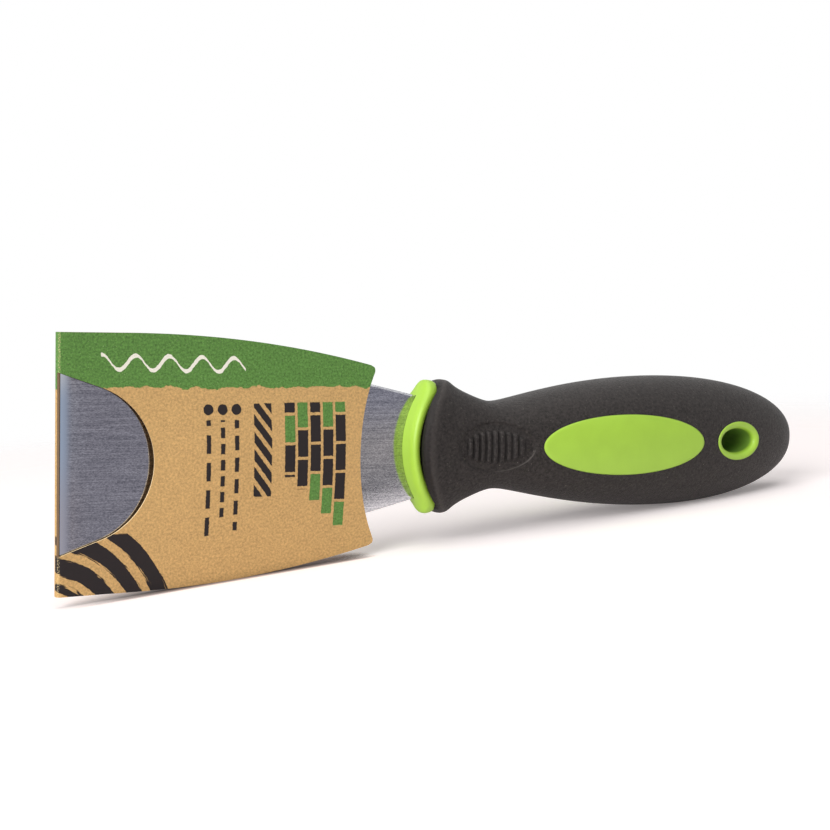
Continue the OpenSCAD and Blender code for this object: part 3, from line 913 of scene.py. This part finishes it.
def finishBlade(piece):
    f = steelFinish
    tree, shader = newMaterial(piece, "brushedSteel", {"Metallic": 1.0})
    place = inMillimetres(tree)
    x = knifePlace(place)[0]
    streaks = noise(stretched(place, f["streaks"]), 1, 2)
    hair = noise(stretched(place, f["hair"]), 1, 2)
    share = calc("SUBTRACT", calc("MULTIPLY_ADD", hair, 1.6, streaks), 0.8, clamp=True)
    colour = mixColour(share, written(*f["dark"]), written(*f["light"]))
    scratch = stepUp(noise(stretched(place, f["marks"]), 1, 1), 0.72, 0.82)
    colour = tinted(colour, scratch, f["scratch"], 0.45)
    colour = tinted(colour, stepUp(x, 3.4, 1.6), f["bevel"])  # the ground edge, lighter and bluer: a painted highlight
    rough = calc("MULTIPLY_ADD", hair, 0.08, f["roughness"] - 0.04)
    rough = calc("MULTIPLY_ADD", scratch, 0.22, rough)
    setInputs(shader, {"Base Color": colour, "Roughness": rough, "Normal": bumped(hair, f["grainDepth"])})


finishGrip(grip)
finishCore(core)
finishBlade(blade)
print("handle and blade finished")


def mapCard(piece):  # a flat map of the sheet in decimetres, and which faces are inside or cut edges
    c = cardForm
    mesh = piece.data
    middle, normal = readAll(mesh.polygons, "center") / mm, readAll(mesh.polygons, "normal")
    x, y = middle[:, 0] + halfLength, middle[:, 1]
    pastFold = x > c["clearOfFold"]
    onPanel = pastFold | (np.abs(y) > 0.9)
    edge = (np.abs(normal[:, 2]) > 0.7) | (pastFold & (np.abs(normal[:, 1]) < 0.6))
    edge |= (x < 1.0) & (normal[:, 1] < -0.9) & (y > c["spineFront"] - 0.05)
    inside = ~edge & (np.where(onPanel, normal[:, 1] * np.sign(y) < -0.2, normal[:, 0] > 0.2))
    layer = mesh.attributes.new("cardSide", "FLOAT", "FACE")
    layer.data.foreach_set("value", np.where(edge, 1.0, np.where(inside, 0.5, 0.0)).astype(np.float32))
    points = readPoints(piece)
    loops = readAll(mesh.loops, "vertex_index", 1, np.int32)
    px, py, pz = points[:, 0] + halfLength, points[:, 1], points[:, 2] - sleeveZ
    outer = c["outer"]
    onSpine = -outer - np.clip(py, -outer, outer) - np.sign(py) * px
    u = np.where(px > 0.75, np.where(py < 0, px, -2 * outer - px), onSpine)
    flat = np.stack([u, pz], -1)[loops] / 100
    mesh.uv_layers.new(name="cardSheet")
    mesh.uv_layers["cardSheet"].uv.foreach_set("vector", flat.astype(np.float32).ravel())
    out = np.where(px < 0.5, px, np.where(py > 0, outer - py, py + outer + cardBow(px, pz)))
    layer = mesh.attributes.new("cardDepth", "FLOAT", "POINT")  # 0 on the outside, 1 on the inside
    layer.data.foreach_set("value", np.clip(out / c["card"], 0, 1).astype(np.float32))


# The generic print: a wall of bricks, a striped bar, dashes, trowel strokes and a wave
cardPrint = {
    "wallX": (49.6, 65.1), "wallTop": 12.0, "course": 3.1, "brick": 6.4, "mortar": 0.34,
    "barX": (42.6, 46.8), "barZ": (-8.0, 12.0),
    "dashes": ((38.6, -15.0, 2.3), (35.4, -12.0, 1.7), (32.2, -16.0, 2.9)),  # place, lower end and half pitch
    "dashTop": 8.6, "dashHalf": 0.5, "dotZ": 10.8,
    "strokesX": -4.0, "strokesZ": -38.0, "strokesReach": (13.0, 31.0), "strokePitch": 2.6,
    "waveX": (9.0, 41.0), "waveZ": 20.9, "waveRate": 0.86, "waveRise": 1.5,
}


def makePrint():
    p = cardPrint
    tree, start, end = newGroup("cardPrint", (("Place", "Vector", (0, 0, 0)),),
                                (("Ink", "Float"), ("Green", "Float"), ("White", "Float")))
    place = start.outputs["Place"]
    wobble = addNode("TexNoise", {"Vector": place, "Scale": 1.4, "Detail": 3}).outputs["Color"]
    shift = addNode("VectorMath", {0: wobble, 1: (0.5, 0.5, 0.5)}, operation="SUBTRACT").outputs[0]
    rough = addNode("VectorMath", {0: shift, 1: (0.35, 0.35, 0), 2: place}, operation="MULTIPLY_ADD")
    x, z, _ = addNode("SeparateXYZ", {0: rough.outputs[0]}).outputs

    wall = addNode("TexBrick", {
        "Vector": addNode("CombineXYZ", {0: z, 1: x}).outputs[0], "Color1": (0, 0, 0, 1),
        "Color2": (1, 1, 1, 1), "Mortar": (0, 0, 0, 1), "Scale": 1.0, "Mortar Size": p["mortar"],
        "Mortar Smooth": 0.2, "Bias": 0.0, "Brick Width": p["brick"], "Row Height": p["course"]}, offset=0.5)
    steps = calc("SNAP", calc("SUBTRACT", x, p["wallX"][0]), p["course"])
    foot = calc("MULTIPLY_ADD", steps, -0.9, -4.0)  # each course reaches further down
    inWall = allOf(between(x, *p["wallX"], 0.08), stepUp(calc("SUBTRACT", z, foot), -0.1, 0.1),
                   stepUp(z, p["wallTop"] + 0.2, p["wallTop"]), unless(wall.outputs["Fac"]))
    greenBrick = stepUp(wall.outputs["Color"], 0.62, 0.64)

    stripe = calc("PINGPONG", calc("MULTIPLY_ADD", z, 0.8, x), 1.5)
    bar = allOf(between(x, *p["barX"], 0.08), between(z, *p["barZ"], 0.08), stepUp(stripe, 0.5, 0.62))

    dashes = []
    for dashX, low, gap in p["dashes"]:
        run = calc("PINGPONG", calc("ADD", z, 40.0), gap)
        dashes.append(allOf(between(x, dashX - p["dashHalf"], dashX + p["dashHalf"], 0.1),
                            stepUp(run, gap * 0.3, gap * 0.3 + 0.15), between(z, low, p["dashTop"], 0.1)))
        dot = lengthOf(calc("SUBTRACT", x, dashX), calc("SUBTRACT", z, p["dotZ"]))
        dashes.append(stepUp(dot, 1.2, 1.1))

    farX, farZ = calc("SUBTRACT", x, p["strokesX"]), calc("SUBTRACT", z, p["strokesZ"])
    ring = lengthOf(farX, farZ)
    turn = calc("ARCTAN2", farZ, farX)
    bristle = addNode("CombineXYZ", {0: calc("MULTIPLY", ring, 1.7), 1: calc("MULTIPLY", turn, 3.0)})
    fan = calc("PINGPONG", ring, p["strokePitch"])
    brushed = calc("MULTIPLY_ADD", noise(bristle.outputs[0], 1.0, 2), 2.6, fan)
    strokes = allOf(stepUp(brushed, 2.15, 2.35), between(ring, *p["strokesReach"], 0.1),
                    stepUp(z, -14.2, -14.6), stepUp(calc("MULTIPLY_ADD", z, 0.9, x), 22.0, 18.0))

    swing = calc("MULTIPLY", x, p["waveRate"])
    middle = calc("MULTIPLY_ADD", x, -0.02, p["waveZ"])
    wave = calc("MULTIPLY_ADD", calc("SINE", swing), p["waveRise"], middle)
    thick = calc("MULTIPLY_ADD", calc("COSINE", swing), 0.16, 0.42)
    off = calc("SUBTRACT", calc("ABSOLUTE", calc("SUBTRACT", z, wave)), thick)
    white = allOf(stepUp(off, 0.05, -0.05), between(x, *p["waveX"], 0.1))

    ink = anyOf(allOf(inWall, unless(greenBrick)), bar, *dashes, strokes)
    setInputs(end, {"Ink": ink, "Green": allOf(inWall, greenBrick), "White": white})
    return tree


cardFinish = {
    "kraft": (198, 160, 104), "fibre": (150, 112, 66), "inside": (168, 132, 86), "crease": (222, 200, 150),
    "cutEdge": (242, 216, 168), "windowCutShade": (62, 42, 24), "spineCutShade": (134, 110, 86),
    "green": (88, 131, 61), "greenSpeck": (190, 206, 160), "ink": (36, 30, 31), "white": (240, 236, 222),
    "kraftMottle": (1.9, 0.35, 0.38, 0.05), "greenMottle": (2.0, 0.3, 0.6, 0.05),
    "bandZ": 15.4, "shine": 0.3, "roughness": 0.78, "grainDepth": 0.00004,
}


def finishCard(piece):
    f = cardFinish
    mapCard(piece)
    tree, shader = newMaterial(piece, "kraftCard", {"Specular IOR Level": f["shine"]})
    flat = addNode("UVMap", tree=tree, uv_map="cardSheet").outputs[0]
    place = addNode("VectorMath", {0: flat, 3: 100.0}, operation="SCALE").outputs[0]
    u, v, _ = addNode("SeparateXYZ", {0: place}).outputs
    side = addNode("Attribute", tree=tree, attribute_name="cardSide").outputs["Fac"]
    edge = stepUp(side, 0.7, 0.8)
    outside = stepUp(side, 0.3, 0.2)
    onFront = allOf(outside, stepUp(u, -1.3, -1.2))
    specks = noise(place, 4.2, 1)

    kraft, grain = mottle(written(*f["kraft"]), place, *f["kraftMottle"])
    fibre = stepUp(noise(stretched(place, (1.4, 3.2, 1)), 1.1, 1), 0.66, 0.74)
    kraft = tinted(kraft, fibre, f["fibre"], 0.3)
    green = mottle(written(*f["green"]), place, *f["greenMottle"])[0]
    green = tinted(green, stepUp(specks, 0.66, 0.74), f["greenSpeck"], 0.3)

    ragged = noise(stretched(place, (0.28, 0.05, 1)), 1, 5)
    dry = noise(stretched(place, (0.16, 2.4, 1)), 1, 3)
    lower = calc("MULTIPLY_ADD", ragged, 3.4, f["bandZ"] - 1.7)
    lower = calc("MULTIPLY_ADD", dry, 0.9, calc("SUBTRACT", lower, 0.45))
    wear = stepUp(noise(place, 3.2, 2), 0.72, 0.78)
    band = allOf(stepUp(calc("SUBTRACT", v, lower), -0.06, 0.12),
                 calc("MULTIPLY_ADD", wear, -0.35, 1.0))

    design = addNode("Group", {"Place": place}, node_tree=makePrint()).outputs
    greenShare = anyOf(allOf(band, outside), allOf(design["Green"], onFront))
    colour = tinted(kraft, unless(outside), f["inside"])
    colour = mixColour(greenShare, colour, green)
    colour = tinted(colour, allOf(design["Ink"], onFront, unless(band)), f["ink"])
    colour = tinted(colour, allOf(design["White"], onFront, band), f["white"])
    nearFold = stepUp(calc("ABSOLUTE", calc("ADD", u, -0.1)), 0.5, 0.2)
    worn = allOf(nearFold, outside, stepUp(specks, 0.5, 0.62))
    colour = tinted(colour, worn, f["crease"], 0.55)

    # painted shade on the spine's cut edge
    cut = tinted(written(*f["cutEdge"]), stepUp(u, 0.9, 0.7), f["spineCutShade"])
    depth = addNode("Attribute", tree=tree, attribute_name="cardDepth").outputs["Fac"]
    atWindow = allOf(between(u, 0.7, 22.0, 0.1), between(v, -21.0, 21.0, 0.1))
    shaded = stepUp(calc("MULTIPLY_ADD", v, 0.024, depth), 0.3, 0.45)  # painted shade on the window's cut edge, paler in the lower half
    cut = tinted(cut, allOf(atWindow, shaded), f["windowCutShade"])
    rough = calc("MULTIPLY_ADD", greenShare, -0.12, f["roughness"])
    setInputs(shader, {
        "Base Color": mixColour(edge, colour, cut), "Roughness": rough,
        "Normal": bumped(grain, f["grainDepth"])})


finishCard(card)
smoothByAngle(card, 30)
print("card finished")

floorSheet = {
    "tilt": 5.18, "underX": 37.6, "height": 0.97, "radius": 0.6, "roughness": 0.9,
    "colour": (1.0, 0.93, 0.92, 1), "glow": (1, 0.94, 0.93, 1), "lift": 0.19,
    "middle": (-0.03, 0, 0), "fade": (0.34, 0.2),
    "under": (0.23, 0.17, 0.15, 1), "underLift": 0.15, "occlusion": 0.009,  # painted contact shadow just under the sleeve
    "lean": -0.3, "underFront": (-0.004, -0.0015), "underBack": (0.033, 0.021),
    "underLeft": (-0.104, -0.084), "underRight": (-0.018, -0.034), "underClear": (0.9, 0.74),
}


def seenPlainly(tree):  # by the camera, in reflections and through clear things
    ray = addNode("LightPath", tree=tree).outputs
    return anyOf(ray["Is Camera Ray"], ray["Is Glossy Ray"], ray["Is Transmission Ray"])


def makeFloor():
    f = floorSheet
    under = ((f["underX"] - halfLength) * mm, 0, f["height"] * mm)
    bpy.ops.mesh.primitive_circle_add(vertices=96, radius=f["radius"], fill_type="NGON", location=under)
    floor = startPiece("paleFloor")
    floor.rotation_euler = (0, -math.radians(f["tilt"]), 0)
    settle(floor)
    tree, shader = newMaterial(floor, "paleFloor", {
        "Roughness": f["roughness"], "Emission Color": f["glow"]})
    coords = addNode("TexCoord", tree=tree).outputs["Object"]
    off = addNode("VectorMath", {0: coords, 1: f["middle"]}, operation="SUBTRACT").outputs[0]
    away = addNode("VectorMath", {0: stretched(off, (1, 1, 0))}, operation="LENGTH").outputs[1]
    x, y, _ = addNode("SeparateXYZ", {0: coords}).outputs
    behind = calc("MULTIPLY_ADD", x, f["lean"], y)
    clear = addNode("AmbientOcclusion", {"Distance": f["occlusion"]}, tree, samples=8).outputs["AO"]
    underShadow = allOf(stepUp(y, *f["underFront"]), stepUp(behind, *f["underBack"]),
                  stepUp(x, *f["underLeft"]), stepUp(x, *f["underRight"]),
                  stepUp(clear, *f["underClear"]))  # only while the sleeve is there; limits the painted contact shadow
    lift = calc("MULTIPLY_ADD", underShadow, (f["underLift"] - 1) * f["lift"], f["lift"])
    setInputs(shader, {
        "Base Color": mixColour(underShadow, f["colour"], f["under"]), "Alpha": stepUp(away, *f["fade"]),
        "Emission Strength": calc("MULTIPLY", seenPlainly(tree), lift)})


studioWorld = {"seen": 1.0, "light": 0.15}  # white where it is seen, and little light on the object


def makeWorld():
    world = bpy.data.worlds.new("studio")
    bpy.context.scene.world = world
    world.use_nodes = True
    tree = world.node_tree
    more = studioWorld["seen"] - studioWorld["light"]
    strength = calc("MULTIPLY_ADD", seenPlainly(tree), more, studioWorld["light"])
    setInputs(tree.nodes["Background"], {"Color": (1, 1, 1, 1), "Strength": strength})


lamps = {
    "key": {"place": (-1.28, -0.62, 0.62), "aim": (0, 0, 0.02), "size": 0.95, "power": 23.6},
    "top": {"place": (-0.1, -0.1, 0.8), "aim": (0, -0.05, 0), "size": 0.8, "power": 3.2},
}


def makeLamps():
    for name, lamp in lamps.items():
        bpy.ops.object.light_add(type="AREA", location=lamp["place"])
        light = bpy.context.object
        light.name = name
        light.data.size = lamp["size"]
        light.data.energy = lamp["power"]
        aim = Vector(lamp["aim"]) - Vector(lamp["place"])
        light.rotation_euler = aim.to_track_quat("-Z", "Y").to_euler()


darkCard = {  # stands before the blade, where only reflections see it; its glowing tones paint the blade's reflections
    "path": ((-0.13, -0.012), (-0.085, -0.03), (0.008, -0.067), (0.12, -0.115), (0.5, -0.25)),
    "low": -0.02, "high": 0.06,
    "left": (0.35, 0.34, 0.385, 1), "right": (0.5, 0.47, 0.46, 1),
    "upper": (0.375, 0.375, 0.43, 1), "lower": (0.385, 0.37, 0.375, 1),
    "edge": (0.6, 0.64, 0.7, 1), "edgeLow": (0.68, 0.59, 0.575, 1), "edgeHigh": (1.0, 0.92, 0.83, 1),
    # where one tone turns into the next, up and along the card
    "toUpper": (0.022, 0.036), "toLower": (0.02, 0.013), "toRight": (-0.06, 0.01),
    "toEdge": (-0.08, -0.106), "toEdgeLow": (0.03, 0.01), "toEdgeHigh": (0.038, 0.046),
}


def makeDarkCard():
    d = darkCard
    columns = len(d["path"]) - 1
    bpy.ops.mesh.primitive_grid_add(x_subdivisions=columns, y_subdivisions=1, size=2, location=(0, 0, 0))
    flag = startPiece("darkCard")
    grid = readPoints(flag) * mm
    path = np.array(d["path"])[np.rint((grid[:, 0] + 1) / 2 * columns).astype(int)]
    height = np.where(grid[:, 1] > 0, d["high"], d["low"])
    writePoints(flag, np.stack([path[:, 0], path[:, 1], height], -1) / mm)
    tree, shader = newMaterial(flag, "darkCard", {
        "Base Color": (0, 0, 0, 1), "Specular IOR Level": 0.0, "Emission Strength": 1.0})
    along, _, up = addNode("SeparateXYZ", {0: addNode("TexCoord", tree=tree).outputs["Object"]}).outputs
    tone = mixColour(stepUp(up, *d["toUpper"]), d["right"], d["upper"])
    tone = mixColour(stepUp(up, *d["toLower"]), tone, d["lower"])
    tone = mixColour(stepUp(along, *d["toRight"]), d["left"], tone)
    edge = mixColour(stepUp(up, *d["toEdgeLow"]), d["edge"], d["edgeLow"])
    edge = mixColour(stepUp(up, *d["toEdgeHigh"]), edge, d["edgeHigh"])
    tone = mixColour(stepUp(along, *d["toEdge"]), tone, edge)
    setInputs(shader, {"Emission Color": tone})
    for kind in ("camera", "diffuse", "transmission", "shadow", "volume_scatter"):
        setattr(flag, "visible_" + kind, False)


clearSelection()
makeFloor()
makeDarkCard()
makeWorld()
makeLamps()
print("floor, cards and lamps placed")

camera = {  # fitted to the outline of sleeve and handle in the photograph
    "place": (-0.20482, -0.31036, 0.05712), "yaw": 31.39, "pitch": 3.41, "roll": 1.03, "lens": 69.44,
}


def makeCamera():
    yaw, pitch, roll = (math.radians(camera[k]) for k in ("yaw", "pitch", "roll"))
    ahead = Vector((math.sin(yaw), math.cos(yaw), 0))
    right = Vector((math.cos(yaw), -math.sin(yaw), 0))
    up = Vector((0, 0, 1))
    look = ahead * math.cos(pitch) - up * math.sin(pitch)
    rise = up * math.cos(pitch) + ahead * math.sin(pitch)
    camRight = right * math.cos(roll) + rise * math.sin(roll)
    camUp = rise * math.cos(roll) - right * math.sin(roll)
    bpy.ops.object.camera_add()
    cam = bpy.context.object
    cam.data.lens = camera["lens"]
    cam.data.sensor_width = 36
    cam.data.clip_start = 0.01
    turned = Matrix((camRight, camUp, -look)).transposed().to_4x4()
    turned.translation = Vector(camera["place"])
    cam.matrix_world = turned
    bpy.context.scene.camera = cam


makeCamera()
bpy.context.scene.view_settings.view_transform = "Standard"
for piece, node, slot in (
        (grip, "grip", "soft_grip"), (core, "handle_core", "core_plastic"), (blade, "blade", "steel")):
    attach(piece, "knife")
    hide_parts(node)
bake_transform(card, "sleeve", "front_panel", start=(-0.1, 0.0003, 0.0267), end=(-0.1, -0.0006, 0.0267))
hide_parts("sleeve_back", "sleeve_front")
